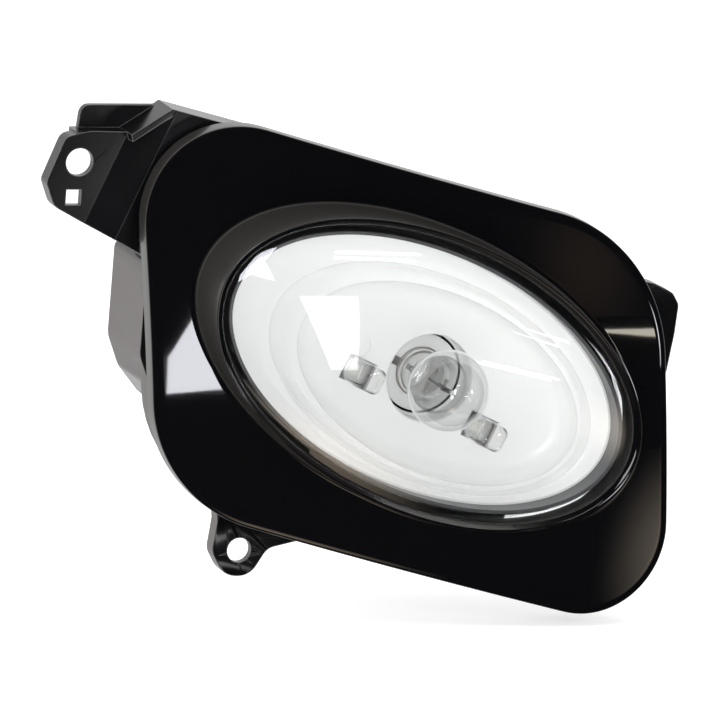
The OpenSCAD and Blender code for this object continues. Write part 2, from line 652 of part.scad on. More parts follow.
// Carrier: perimeter wall, curved web, ribs, collar round the housing, screw bosses, arm, tabs, side box
module mounting_carrier() color("#1a1a1c") in_place() difference() {
    union() {
        intersection() {
            slab(-10, 60) difference() {
                face_shape(carrier_inset);
                face_shape(carrier_inset + 2.2);
            }
            layer(face_t + fit, web_d + web_t + rib_h);
        }
        intersection() {
            slab(-10, 60) face_shape(carrier_inset);
            union() {
                layer(web_d, web_d + web_t);
                intersection() {
                    oval_axes() for (i = [0 : 11]) rotate([0, i * 30 + 8, 0])
                        translate([0, -5, -rib_t / 2]) cube([far, 70, rib_t]);
                    layer(web_d + web_t / 2, web_d + web_t + rib_h);
                }
                intersection() {
                    oval_axes() oval(hole_a + 2, hole_b + 2, -5, 60);
                    layer(web_d + web_t / 2, web_d + web_t + rib_h);
                }
            }
        }
        for (p = bezel_spots) at(p[0], p[1]) rod(boss_r + 0.6, skin_y(p, web_d + web_t / 2), bezel_seat(p));
        oval_axes() for (p = lug_spots) at(p[0], p[1])
            rod(boss_r, lug_front(p), seat_y);
        upper_arm();
        tab(low_points, low_radii, low_y, tab_rim);
        tab(ear_points, ear_radii, ear_y, tab_rim);
        slab(skin_y([-80, 5], web_d), side_y) difference() {
            polygon(rounded(side_points, side_radii));
            polygon(rounded(side_points, side_radii, 2.2));
        }
    }
    oval_axes() oval(hole_a, hole_b, -10, 90);
    for (p = bezel_spots) at(p[0], p[1]) {
        rod(shank_r + 0.4, 0, 60);
        rod(head_r + 0.4, bezel_seat(p), 60);
    }
    oval_axes() for (p = lug_spots) {
        at(p[0], p[1]) rod(shank_r + hair, seat_y - 8, seat_y + 1);
        at(p[0], p[1]) rod(lug_r + fit, seat_y, 60);
        at(p[0], p[1] - sign(p[1]) * lug_r) block(2 * (lug_r + fit), 2 * lug_r, seat_y, 60);
    }
    at(-hole_x, hole_z) rod(upper_hole_r, hole_y - 10, hole_y + 30);
    at(-hole_x - 1.1, hole_z - 10.8) block(square_w, square_w, hole_y - 10, hole_y + 30);
    at(low_hole[0], low_hole[1]) rod(lower_hole_r, low_y - 10, low_y + 30);
}
function bezel_seat(p) = skin_y(p, web_d + web_t) + 2.5;
function turned_out(p) = [p[0] * cos(ring_tilt) + p[1] * sin(ring_tilt),
                          -p[0] * sin(ring_tilt) + p[1] * cos(ring_tilt)];
function lug_front(p) = skin_y(turned_out(p), web_d + web_t / 2);
module bezel_screws() color("#a8a8ac") in_place()
    for (p = bezel_spots) at(p[0], p[1]) screw(bezel_seat(p), skin_y(p, face_t) + 2.5);

bezel();
cover_lens();
lens_seal();
inner_shroud();
reflector();
light_block_left();
light_block_right();
light_chip_left();
light_chip_right();
circuit_board();
board_screws();
bulb_glass();
bulb_filament();
bulb_cap();
bulb_contact();
bulb_holder();
holder_terminals();
holder_seal();
rear_housing();
connector_pins();
vent_cap();
mounting_carrier();
housing_screws();
bezel_screws();
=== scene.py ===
import json
import math

import bmesh
import bpy
from mathutils import Matrix, Vector


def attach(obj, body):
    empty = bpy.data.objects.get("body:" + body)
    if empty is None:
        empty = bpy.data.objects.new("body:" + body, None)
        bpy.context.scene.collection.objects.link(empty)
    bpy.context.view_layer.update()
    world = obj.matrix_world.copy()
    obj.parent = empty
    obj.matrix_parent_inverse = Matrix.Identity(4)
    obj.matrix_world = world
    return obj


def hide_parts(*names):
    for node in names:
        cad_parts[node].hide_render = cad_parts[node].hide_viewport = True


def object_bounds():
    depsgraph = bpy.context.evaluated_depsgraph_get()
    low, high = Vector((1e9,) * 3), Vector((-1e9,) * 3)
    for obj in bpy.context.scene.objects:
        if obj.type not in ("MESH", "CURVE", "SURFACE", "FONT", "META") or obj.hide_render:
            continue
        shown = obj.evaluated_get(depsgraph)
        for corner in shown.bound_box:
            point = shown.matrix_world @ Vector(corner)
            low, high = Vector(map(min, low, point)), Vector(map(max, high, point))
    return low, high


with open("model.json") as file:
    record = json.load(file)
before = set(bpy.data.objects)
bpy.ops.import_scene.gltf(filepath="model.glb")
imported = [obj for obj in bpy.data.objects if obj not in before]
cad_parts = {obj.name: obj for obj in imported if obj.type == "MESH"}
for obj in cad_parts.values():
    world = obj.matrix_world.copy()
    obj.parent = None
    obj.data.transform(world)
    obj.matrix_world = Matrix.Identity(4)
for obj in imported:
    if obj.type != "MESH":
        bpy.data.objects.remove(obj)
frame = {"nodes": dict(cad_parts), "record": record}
cad_low, cad_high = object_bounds()
nodes = frame["nodes"]

# The lamp's own sizes are in millimetres, from the middle of the collar's rim, with Y the depth.
# Places in the frame, and the sizes in the camera, the finishes and the stage, are in metres.
MM = 0.001
RIM_MIDDLE = Vector((0.1023, -0.040, -0.0562))
OVAL_TURN = math.radians(23.6)
UPRIGHT = Matrix.Translation(RIM_MIDDLE)
OVAL = UPRIGHT @ Matrix.Rotation(OVAL_TURN, 4, "Y")


# Camera

def aim_camera():
    """A long lens from the front left, a little above, rolled as the photograph is."""
    azimuth, elevation, roll = math.radians(20), math.radians(12), math.radians(4.5)
    view_width, lens, sensor = 0.2160, 1500, 36
    shift_left, shift_up = 0.02107, 0.00468
    nearest, furthest = 0.05, 40
    away = Vector((math.sin(azimuth) * math.cos(elevation), math.cos(azimuth) * math.cos(elevation),
                   -math.sin(elevation)))
    level = Vector((math.cos(azimuth), -math.sin(azimuth), 0))
    upward = level.cross(away)
    right = level * math.cos(roll) + upward * math.sin(roll)
    top = upward * math.cos(roll) - level * math.sin(roll)
    middle = RIM_MIDDLE - right * shift_left + top * shift_up
    data = bpy.data.cameras.new("camera")
    data.lens, data.sensor_width = lens, sensor
    data.clip_start, data.clip_end = nearest, furthest
    camera = bpy.data.objects.new("camera", data)
    bpy.context.scene.collection.objects.link(camera)
    camera.matrix_world = Matrix((
        (right.x, top.x, -away.x, 0),
        (right.y, top.y, -away.y, 0),
        (right.z, top.z, -away.z, 0),
        (0, 0, 0, 1)))
    camera.location = middle - away * (view_width * lens / sensor)
    bpy.context.scene.camera = camera


aim_camera()
bpy.context.scene.view_settings.view_transform = "Standard"


# Finishes

class Wire:
    """A value in a node tree. Sums and products of wires add the nodes that work them out."""

    def __init__(self, owner, socket):
        self.owner, self.socket = owner, socket

    def _worked(self, operation, first, second):
        return self.owner.add("Math", {"operation": operation}, [first, second])

    def __add__(self, other):
        return self._worked("ADD", self, other)

    def __radd__(self, other):
        return self._worked("ADD", other, self)

    def __sub__(self, other):
        return self._worked("SUBTRACT", self, other)

    def __rsub__(self, other):
        return self._worked("SUBTRACT", other, self)

    def __mul__(self, other):
        return self._worked("MULTIPLY", self, other)

    def __rmul__(self, other):
        return self._worked("MULTIPLY", other, self)

    def over(self, low, high):
        """0 at low and 1 at high, and no further."""
        return self.owner.add("MapRange", {"clamp": True}, {"Value": self, "From Min": low, "From Max": high})


class Tree:
    """A node tree, whose nodes are all added in one way."""

    def __init__(self, tree):
        self.tree = tree

    def join(self, socket, value):
        """Links a wire to a socket, or sets the socket to a value."""
        if isinstance(value, Wire):
            self.tree.links.new(value.socket, socket)
        elif socket.type == "RGBA" and len(value) == 3:
            socket.default_value = (*value, 1)
        else:
            socket.default_value = value

    def add(self, kind, settings=None, sockets=None, output=0):
        """Adds a node by its type, settings and the values or wires of its sockets, and gives one output."""
        node = self.tree.nodes.new("ShaderNode" + kind)
        for name, value in (settings or {}).items():
            if name == "stops":
                for stop, (place, tone) in zip(node.color_ramp.elements, value):
                    stop.position, stop.color = place, (*tone, 1)
            else:
                setattr(node, name, value)
        if isinstance(sockets, list):
            sockets = dict(enumerate(sockets))
        for name, value in (sockets or {}).items():
            self.join(node.inputs[name], value)
        return Wire(self, node.outputs[output])


class Finish(Tree):
    """One material: a surface and the nodes that feed it."""

    def __init__(self, name, colour, roughness, metallic=0.0, **constants):
        self.material = bpy.data.materials.new(name)
        self.material.use_nodes = True
        super().__init__(self.material.node_tree)
        self.surface = self.tree.nodes["Principled BSDF"]
        self.feed("Base Color", colour)
        self.feed("Roughness", roughness)
        self.feed("Metallic", metallic)
        for socket, value in constants.items():
            self.feed(socket.replace("_", " "), value)

    def feed(self, socket, value):
        """Joins a wire or a value to the surface."""
        self.join(self.surface.inputs[socket], value)

    def place(self):
        """Where a point of the piece lies in the frame."""
        return self.add("TexCoord", output="Object")

    def noise(self, scale, detail, stretch=None):
        """Cloudy pattern, finer along the ways in which it is stretched."""
        place = self.place()
        if stretch:
            place = self.add("Mapping", {}, {"Vector": place, "Scale": stretch})
        return self.add("TexNoise", {}, {"Vector": place, "Scale": scale, "Detail": detail})

    def mixed(self, share, first, second):
        """Colour that goes from first to second as share goes from 0 to 1."""
        # The node's two colours are its sockets 6 and 7, and the mixed one is its output 2
        return self.add("Mix", {"data_type": "RGBA"}, {0: share, 6: first, 7: second}, output=2)

    def facing(self, axis, low, high):
        """1 where the surface faces along an axis by at least high, 0 where by no more than low."""
        normal = self.add("NewGeometry", output="True Normal")
        return self.add("SeparateXYZ", {}, {"Vector": normal}, output=axis).over(low, high)

    def thin_fresnel(self, index):
        """How mirror-like a thin clear wall is, alike from its two sides."""
        behind = self.add("NewGeometry", output="Backfacing")
        return self.add("Fresnel", {}, {"IOR": index - behind * (index - 1 / index)})

    def edges(self, width=0.0005):
        """1 along sharp edges, where a rounded normal leaves the real one, and 0 on flat faces."""
        rounded = self.add("Bevel", {"samples": 4}, {"Radius": width})
        normal = self.add("NewGeometry", output="Normal")
        apart = self.add("VectorMath", {"operation": "DISTANCE"}, [rounded, normal], output="Value")
        return apart.over(0.15, 0.7)

    def bump(self, height, strength, distance):
        """Raises the surface where height is high."""
        sockets = {"Height": height, "Strength": strength, "Distance": distance}
        self.feed("Normal", self.add("Bump", {}, sockets))

    def see_through(self, colour, share):
        """Makes the piece clear, of the given colour, but for a share that stays this surface."""
        clear_part = self.add("BsdfTransparent", {}, {"Color": colour})
        mix = self.add("MixShader", {}, {0: share, 1: clear_part, 2: Wire(self, self.surface.outputs[0])})
        self.join(self.tree.nodes["Material Output"].inputs["Surface"], mix)


def moulded(name, colour, roughness, grain, depth=0.00003, edge_highlight=0.0):
    """Moulded plastic: fine grain, uneven gloss, pale patches, and if asked a painted highlight that makes
    the edges a little paler.
    """
    finish = Finish(name, colour, roughness)
    patches = finish.noise(35, 4)
    fine = finish.noise(grain, 3)
    pale = tuple(min(1, c * 1.5 + 0.012) for c in colour)
    patches_and_edge_highlight = patches.over(0.35, 0.8) * 0.35
    if edge_highlight:
        # The paler sharp edges are a painted highlight
        patches_and_edge_highlight = patches_and_edge_highlight + finish.edges() * edge_highlight
    finish.feed("Base Color", finish.mixed(patches_and_edge_highlight, colour, pale))
    finish.feed("Roughness", patches * 0.12 + fine * 0.06 + (roughness - 0.09))
    finish.bump(fine, 0.25, depth)
    return finish.material


def piano_black():
    """Polished black with hazy patches and dust, which is satin on the walls that stand round the face."""
    black = (0.0025, 0.0025, 0.003)
    finish = Finish("bezel_piano_black", black, 0.03, Coat_Weight=0.4, Coat_Roughness=0.02)
    haze = finish.noise(28, 3)
    dust = finish.noise(2600, 1).over(0.74, 0.8)
    walls = finish.facing("Y", -0.8, -0.45)
    finish.feed("Roughness", haze.over(0.3, 0.8) * 0.03 + dust * 0.05 + walls * 0.3 + 0.02)
    speckled = finish.mixed(dust * 0.3, black, (0.02, 0.02, 0.02))
    finish.feed("Base Color", finish.mixed(walls, speckled, (0.03, 0.028, 0.026)))
    finish.bump(finish.noise(60, 1), 0.02, 0.0002)
    return finish.material


# How strongly clear plastic and glass bend light
PLASTIC, GLASS = 1.49, 1.52


def clear(name, tint, body, gloss, strength, index):
    """Thin clear plastic or glass: see-through face on, brighter and more mirror-like at a glancing angle."""
    finish = Finish(name, tint, gloss, metallic=1.0)
    glance = finish.thin_fresnel(index)
    smear = finish.noise(22, 3).over(0.35, 0.85)
    finish.feed("Roughness", smear * 0.03 + gloss)
    finish.see_through((0.975, 0.98, 0.98), glance * strength + body)
    return finish.material


def white_bowl():
    """White moulded reflector: bright, softly glossy, with a faint flow pattern."""
    finish = Finish("reflector_white", (0.9, 0.9, 0.89), 0.22, Coat_Weight=0.2, Coat_Roughness=0.1)
    flow = finish.noise(18, 4, (1, 1, 2.4))
    finish.feed("Base Color", finish.mixed(flow.over(0.35, 0.8), (0.92, 0.92, 0.915), (0.87, 0.87, 0.865)))
    finish.feed("Roughness", flow * 0.14 + 0.16)
    finish.bump(finish.noise(420, 2), 0.05, 0.00003)
    return finish.material


def metal(name, colour, roughness, metallic=1.0):
    """Plated or drawn metal with fine lines along one way."""
    finish = Finish(name, colour, roughness, metallic)
    lines = finish.noise(260, 3, (1, 30, 1))
    dull = tuple(c * 0.7 for c in colour)
    finish.feed("Base Color", finish.mixed(lines.over(0.35, 0.8), colour, dull))
    finish.feed("Roughness", lines * 0.2 + (roughness - 0.1))
    finish.bump(lines, 0.04, 0.00001)
    return finish.material


def rubber():
    """Matt black rubber, dusty in patches."""
    black = (0.014, 0.014, 0.014)
    finish = Finish("seal_rubber", black, 0.6)
    grain = finish.noise(1500, 3)
    dusty = finish.noise(60, 4).over(0.4, 0.8)
    finish.feed("Base Color", finish.mixed(dusty * 0.5, black, (0.045, 0.044, 0.042)))
    finish.feed("Roughness", dusty * 0.15 + 0.55)
    finish.bump(grain, 0.35, 0.00004)
    return finish.material


def board_white():
    """White solder mask over copper tracks, which show as faint steps along the board."""
    white = (0.8, 0.8, 0.78)
    finish = Finish("board_white", white, 0.3)
    along = finish.add("Mapping", {}, {"Vector": finish.place(), "Rotation": (math.pi / 2, OVAL_TURN, 0)})
    tracks = finish.add("TexBrick", {"offset": 0.5}, {
        "Vector": along, "Scale": 300, "Mortar Size": 0.012, "Mortar Smooth": 0.3}, output="Fac")
    finish.feed("Base Color", finish.mixed(tracks, white, (0.7, 0.7, 0.67)))
    finish.feed("Roughness", finish.noise(90, 2) * 0.2 + 0.25)
    finish.bump(tracks, 0.3, 0.00004)
    return finish.material


def cut_clear():
    """Clear plastic of the light blocks: see-through faces, with cut edges that glint light and dark."""
    finish = Finish("block_clear", (0.95, 0.96, 0.96), 0.04, metallic=1.0)
    ripple = finish.noise(520, 3)
    edge = finish.edges(0.0003)
    finish.feed("Roughness", ripple.over(0.5, 0.8) * 0.1 + 0.04)
    finish.bump(ripple, 0.2, 0.00006)
    glance = finish.thin_fresnel(PLASTIC)
    finish.see_through((1, 1, 1), glance * 1.6 + edge * ripple.over(0.42, 0.6) * 0.9)
    return finish.material


def carrier_black():
    """Half-gloss black moulding whose sharp edges are made pale as a painted highlight, and whose lower side
    walls have a coarse, paler grain.
    """
    black = (0.003, 0.003, 0.0035)
    finish = Finish("carrier_black", black, 0.24)
    fine = finish.noise(750, 3)
    patches = finish.noise(35, 4)
    edge = finish.edges()
    height = finish.add("SeparateXYZ", {}, {"Vector": finish.place()}, output="Z")
    side = finish.facing("X", 0.8, 0.97) + finish.facing("X", -0.8, -0.97)
    coarse = side * height.over(-0.024, -0.032)
    satin = finish.mixed(patches.over(0.35, 0.8) * 0.3, black, (0.014, 0.014, 0.015))
    # The pale sharp edges are a painted highlight
    patches_and_edge_highlight = finish.mixed(edge * 0.8, satin, (0.2, 0.2, 0.205))
    finish.feed("Base Color", finish.mixed(coarse, patches_and_edge_highlight, (0.125, 0.116, 0.112)))
    finish.feed("Roughness", patches * 0.1 + fine * 0.05 + coarse * 0.3 + 0.14)
    finish.bump(fine, 0.15, 0.00003)
    return finish.material


FINISHES = {
    "bezel_gloss": piano_black(),
    "clear_lens": clear("lens_clear", (0.95, 0.96, 0.96), 0.015, gloss=0.01, strength=1.0, index=PLASTIC),
    "seal_rubber": rubber(),
    "shroud_grey": moulded("shroud_grey", (0.06, 0.06, 0.063), 0.32, 700),
    "reflector_white": white_bowl(),
    "clear_block": cut_clear(),
    "chip": moulded("chip_pale", (0.88, 0.87, 0.8), 0.35, 2500),
    "board": board_white(),
    "screw_steel": metal("screw_zinc", (0.62, 0.62, 0.64), 0.32),
    "bulb_glass": clear("bulb_glass", (0.9, 0.91, 0.91), 0.01, gloss=0.01, strength=3.0, index=GLASS),
    "filament": metal("filament_grey", (0.35, 0.35, 0.37), 0.35),
    "cap_nickel": metal("cap_nickel", (0.9, 0.89, 0.87), 0.45, metallic=0.45),
    "holder_grey": moulded("holder_grey", (0.8, 0.8, 0.79), 0.42, 800, 0.00004, 0.3),
    "housing_plastic": moulded("housing_black", (0.014, 0.014, 0.015), 0.5, 600, 0.00006, 0.3),
    "pin_metal": metal("pin_tinned", (0.75, 0.74, 0.7), 0.25),
    "carrier_plastic": carrier_black(),
}
SLOTS = {part["node"]: part["material_slot"] for part in frame["record"]["subparts"]}


# Modelling helpers

FINEST = 1e-7


def nothing_selected():
    """Back to object mode with nothing selected, because an operator acts on all that is selected."""
    if bpy.context.mode != "OBJECT":
        bpy.ops.object.mode_set(mode="OBJECT")
    bpy.ops.object.select_all(action="DESELECT")


def editing(piece):
    """Opens one piece in edit mode."""
    bpy.context.view_layer.objects.active = piece
    piece.select_set(True)
    bpy.ops.object.mode_set(mode="EDIT")


def spot(point):
    """A point in whole steps of the finest distance, by which it is found again."""
    return tuple(round(c / FINEST) for c in point)


def drawn_through(name, loops, closed=False):
    """Extrudes a ring of edges from loop to loop, sets each new ring on its points and may close the ends."""
    nothing_selected()
    bpy.ops.mesh.primitive_circle_add(vertices=len(loops[0]), radius=1)
    piece = bpy.context.object
    piece.name = piece.data.name = name
    for vertex, point in zip(piece.data.vertices, loops[0]):
        vertex.co = point
    editing(piece)
    bpy.ops.mesh.select_mode(type="VERT")
    bpy.ops.mesh.select_all(action="SELECT")
    for before, after in zip(loops, loops[1:]):
        bpy.ops.mesh.extrude_edges_move()
        mesh = bmesh.from_edit_mesh(piece.data)
        place = {spot(p): q for p, q in zip(before, after)}
        for vertex in [v for v in mesh.verts if v.select]:
            vertex.co = place[spot(vertex.co)]
        bmesh.update_edit_mesh(piece.data)
    if closed:
        # The last ring is still selected, and once it is closed the first is the only open one
        bpy.ops.mesh.extrude_edges_move()
        bpy.ops.mesh.merge(type="COLLAPSE")
        bpy.ops.mesh.select_all(action="DESELECT")
        bpy.ops.mesh.select_non_manifold()
        bpy.ops.mesh.extrude_edges_move()
        bpy.ops.mesh.merge(type="COLLAPSE")
    bpy.ops.mesh.select_all(action="SELECT")
    bpy.ops.mesh.remove_doubles(threshold=FINEST)
    bpy.ops.mesh.normals_make_consistent(inside=False)
    bpy.ops.object.mode_set(mode="OBJECT")
    return piece


def finished(piece, slot, *replaced, turn=Matrix.Identity(4), smooth=30):
    """Sets a piece in the row's frame, smooths it, gives it its finish and hides the CAD parts that it
    replaces.
    """
    nothing_selected()
    piece.data.transform(turn)
    bpy.context.view_layer.objects.active = piece
    piece.select_set(True)
    bpy.ops.object.shade_smooth_by_angle(angle=math.radians(smooth))
    piece.data.materials.clear()
    piece.data.materials.append(FINISHES[slot])
    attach(piece, "root")
    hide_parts(*replaced)
    return piece


def applied(piece, kind, **settings):
    """Adds one modifier and applies it."""
    nothing_selected()
    bpy.context.view_layer.objects.active = piece
    piece.select_set(True)
    modifier = piece.modifiers.new(kind.lower(), kind)
    for name, value in settings.items():
        setattr(modifier, name, value)
    bpy.ops.object.modifier_apply(modifier=modifier.name)


def without(piece, tool):
    """Cuts one piece by another, which is then gone."""
    applied(piece, "BOOLEAN", operation="DIFFERENCE", solver="EXACT", object=tool)
    bpy.data.objects.remove(tool)


def box(size, place):
    """A plain box of the given size round a place, both along the oval's own axes."""
    nothing_selected()
    bpy.ops.mesh.primitive_cube_add(size=1, scale=MM * Vector(size), location=MM * Vector(place))
    bpy.ops.object.transform_apply()
    return bpy.context.object


def bent(first, corner, last, steps):
    """Points of a soft bend that leaves first towards corner and arrives at last."""
    out = []
    for k in range(steps + 1):
        t = k / steps
        out.append(first * (1 - t) ** 2 + corner * 2 * t * (1 - t) + last * t * t)
    return out


def oval(a, b, u, v, y, sides):
    """Points of an oval in the oval's own axes, in metres."""
    turns = [2 * math.pi * k / sides for k in range(sides)]
    return [MM * Vector((u + a * math.cos(t), y, v + b * math.sin(t))) for t in turns]


def ovals(stations, sides=192):
    """Ovals of half width, half height, middle and depth, one for each station."""
    return [oval(*station, sides) for station in stations]


# Bezel

FACE_HALF_W, FACE_HALF_H = 82.5, 60.25
FACE_X, FACE_Z = -2.2, -1.2
SIDE_LEAN, EDGE_LEAN = math.tan(math.radians(3.6)), math.tan(math.radians(14))
FACE_CORNERS = []
for side, up in ((-1, 1), (1, 1), (1, -1), (-1, -1)):
    FACE_CORNERS.append(Vector((FACE_X + side * FACE_HALF_W - up * FACE_HALF_H * SIDE_LEAN,
                                FACE_Z - side * FACE_HALF_W * EDGE_LEAN + up * FACE_HALF_H)))
FACE_RADII = (30, 47, 26, 40)
CROWN_R, CROWN_X, CROWN_Z, CROWN_LEAD = 420, 8.4, -58.8, 0.7
FACE_T, EDGE_ROLL = 2.4, 2.6


def face_edge(inset):
    """The face's outline, moved in by an inset, as bearings from the middle of the rim and distances."""
    arc_steps, spacing = 40, 1.5
    points = []
    for k, corner in enumerate(FACE_CORNERS):
        arriving = (corner - FACE_CORNERS[k - 1]).normalized()
        leaving = (FACE_CORNERS[(k + 1) % 4] - corner).normalized()
        # The outline runs clockwise, so its inside lies to the right of each side
        to_inside = Vector((arriving.y, -arriving.x)), Vector((leaving.y, -leaving.x))
        mitre = (to_inside[0] + to_inside[1]).normalized()
        q = corner + mitre * (inset / mitre.dot(to_inside[0]))
        radius = FACE_RADII[k] - inset
        half = math.acos(max(-1, min(1, arriving.dot(leaving)))) / 2
        centre = q - arriving * radius * math.tan(half) + to_inside[0] * radius
        start = math.atan2(-to_inside[0].y, -to_inside[0].x)
        for j in range(arc_steps + 1):
            bearing = start - 2 * half * j / arc_steps
            points.append(centre + radius * Vector((math.cos(bearing), math.sin(bearing))))
    dense = []
    for k, point in enumerate(points):
        follower = points[(k + 1) % len(points)]
        steps = max(1, int((follower - point).length / spacing))
        dense += [point.lerp(follower, j / steps) for j in range(steps)]
    return sorted((math.atan2(p.y, p.x), p.length) for p in dense)


def reach(edge, bearing):
    """Distance from the middle to the outline along one bearing."""
    low, high = 0, len(edge)
    while low < high:
        mid = (low + high) // 2
        if edge[mid][0] < bearing:
            low = mid + 1
        else:
            high = mid
    before, after = edge[low - 1], edge[low % len(edge)]
    span = (after[0] - before[0]) % (2 * math.pi)
    share = ((bearing - before[0]) % (2 * math.pi)) / span if span else 0
    return before[1] + (after[1] - before[1]) * share


def skin(x, z, behind=0.0):
    """Depth of the surface that lies some millimetres behind the face."""
    return CROWN_R - CROWN_LEAD - math.sqrt((CROWN_R - behind) ** 2 - (x - CROWN_X) ** 2 - (z - CROWN_Z) ** 2)


def bezel():
    """Gloss face with its turned edge and raised collar, drawn from the lens opening outwards and back.

    The collar's walls widen backwards by a small draft, which is the same share of both half axes.
    """
    sides = 384
    ring_a, ring_b, draft_b = 73.3, 41.7, 0.08
    draft_a = draft_b * ring_a / ring_b
    hole_a, hole_b = 70.7, 39.6
    sleeve_end, fillet, back_fillet = 9.0, 1.5, 4
    face_shares = 0.04, 0.12, 0.25, 0.4, 0.55, 0.7, 0.85, 0.96
    turn = Matrix.Rotation(OVAL_TURN, 3, "Y")
    edges = {inset: face_edge(inset) for inset in (0, 0.25, 0.8, FACE_T, EDGE_ROLL)}

    def wall(k, a, b, y):
        """A point of an oval wall, in the lamp's coordinates."""
        t = 2 * math.pi * k / sides
        return turn @ Vector((a * math.cos(t), y, b * math.sin(t)))

    def collar(k, grow, y):
        """A point of the collar's outer wall, moved out a little."""
        deep = max(y, 0)
        return wall(k, ring_a + grow + draft_a * deep, ring_b + grow + draft_b * deep, y)

    rings = []
    for k in range(sides):
        # The wall's foot lies on the crowned face, and is found in a few rounds
        base = wall(k, ring_a, ring_b, 5)
        for _ in range(6):
            y = skin(base.x, base.z)
            base = wall(k, ring_a + draft_a * y, ring_b + draft_b * y, y)
        bearing = math.atan2(base.z, base.x)
        ray = Vector((math.cos(bearing), 0, math.sin(bearing)))

        def on_face(distance, behind=0.0, drop=0.0):
            """A point along this bearing, some way behind the face and then dropped."""
            point = ray * distance
            point.y = skin(point.x, point.z, behind) + drop
            return point

        depth = base.y
        top = min(0.0, depth - 0.8)
        foot = min(1.2, (depth - top) * 0.5)
        radius = Vector((base.x, base.z)).length
        start, back_start = radius + fillet, radius + back_fillet
        outer = {inset: reach(edge, bearing) for inset, edge in edges.items()}
        rolled = outer[EDGE_ROLL]

        # The sleeve goes on behind the face, so that the backdrop does not show between bezel and lens
        sleeve = max(skin(base.x, base.z, FACE_T), sleeve_end)
        line = [wall(k, hole_a, hole_b, sleeve), wall(k, hole_a, hole_b, 2.0)]
        line += bent(wall(k, hole_a, hole_b, 1.7), wall(k, hole_a, hole_b, 1.3),
                     wall(k, hole_a + 0.3, hole_b + 0.3, 1.1), 3)
        line += bent(collar(k, -0.9, top + 0.15), collar(k, -0.35, top), collar(k, -0.25, top), 3)
        line += bent(collar(k, -0.25, top), collar(k, 0, top), collar(k, 0, top + 0.3), 4)
        line += [collar(k, 0, top + 0.3 + (depth - foot - top - 0.3) * f) for f in (0.25, 0.5, 0.75)]
        line += bent(collar(k, 0, depth - foot), base, on_face(start), 5)
        line += [on_face(start + (rolled - start) * f) for f in face_shares]
        line += bent(on_face(rolled), on_face((rolled + outer[0.8]) / 2), on_face(outer[0.8], drop=0.28), 4)
        line += bent(on_face(outer[0.25], drop=0.5), on_face(outer[0], drop=0.62),
                     on_face(outer[0], drop=1.1), 3)
        line += [on_face(outer[0], drop=3.5), on_face(outer[0], 6.1), on_face(outer[0.25], 6.4),
                 on_face(outer[FACE_T], 6.4), on_face(outer[FACE_T], 2.7), on_face(rolled - 0.3, FACE_T)]
        line += [on_face(back_start + (rolled - back_start) * f, FACE_T) for f in (0.66, 0.33, 0)]
        line.append(line[0])
        rings.append([MM * p for p in line])
    loops = [[ring[j] for ring in rings] for j in range(len(rings[0]))]
    return finished(drawn_through("bezel_shell", loops), "bezel_gloss", "bezel", turn=UPRIGHT, smooth=40)


# Lens, shroud and reflector

LENS_A, LENS_B, LENS_Y, DOME_RISE, LENS_T = 70.4, 39.3, 1.3, 6.5, 2.0


def dome(a, b, y, steps):
    """Stations of the lens's dome, from near its middle to near its edge."""
    ball = (b * b + DOME_RISE * DOME_RISE) / (2 * DOME_RISE)
    share_at_edge = 0.992
    out = []
    for k in range(1, steps + 1):
        s = k / steps * share_at_edge
        out.append((a * s, b * s, 0, 0, y + ball - DOME_RISE - math.sqrt(ball * ball - (b * s) ** 2)))
    return out


def lens():
    """Clear dome with a rounded shoulder, a deep skirt and a flange at its back."""
    front = dome(LENS_A, LENS_B, LENS_Y, 22)
    back = dome(LENS_A - LENS_T, LENS_B - LENS_T, LENS_Y + LENS_T, 16)
    brim = front[-1][4]
    outside = [(-0.22, brim + 0.12), (-0.05, brim + 0.35), (0, brim + 0.7), (0, 8), (0, 20)]
    flange = [(2.8, 20), (3, 20.2), (3, 22), (-LENS_T, 22)]
    inside = [(-LENS_T, 12), (-LENS_T, 3.9)]
    skirt = [(LENS_A + grow, LENS_B + grow, 0, 0, y) for grow, y in outside + flange + inside]
    piece = drawn_through("lens_dome", ovals(front + skirt + back[::-1]), closed=True)
    return finished(piece, "clear_lens", "cover_lens", turn=OVAL)


SHROUD_A, SHROUD_B = 68.1, 37.0
RIM_Y, STEP_Y, BOWL_Y, FLOOR_Y = 11, 16.5, 24, 31
STEP_U, STEP_V = 7.4, -1.8
BULB_U, BULB_V = 13.5, -2.7
BLOCK_U, BLOCK_V = (-8.5, 35.5), -10.0


def shroud():
    """Dark ring with a rounded front edge, which stands on the bowl's rim."""
    wall = 1.2
    line = [(0, RIM_Y), (0, 3.8), (0.2, 3.6), (wall - 0.2, 3.6), (wall, 3.8), (wall, RIM_Y), (0, RIM_Y)]
    stations = [(SHROUD_A - inset, SHROUD_B - inset, 0, 0, y) for inset, y in line]
    return finished(drawn_through("shroud_ring", ovals(stations)), "shroud_grey", "inner_shroud", turn=OVAL)


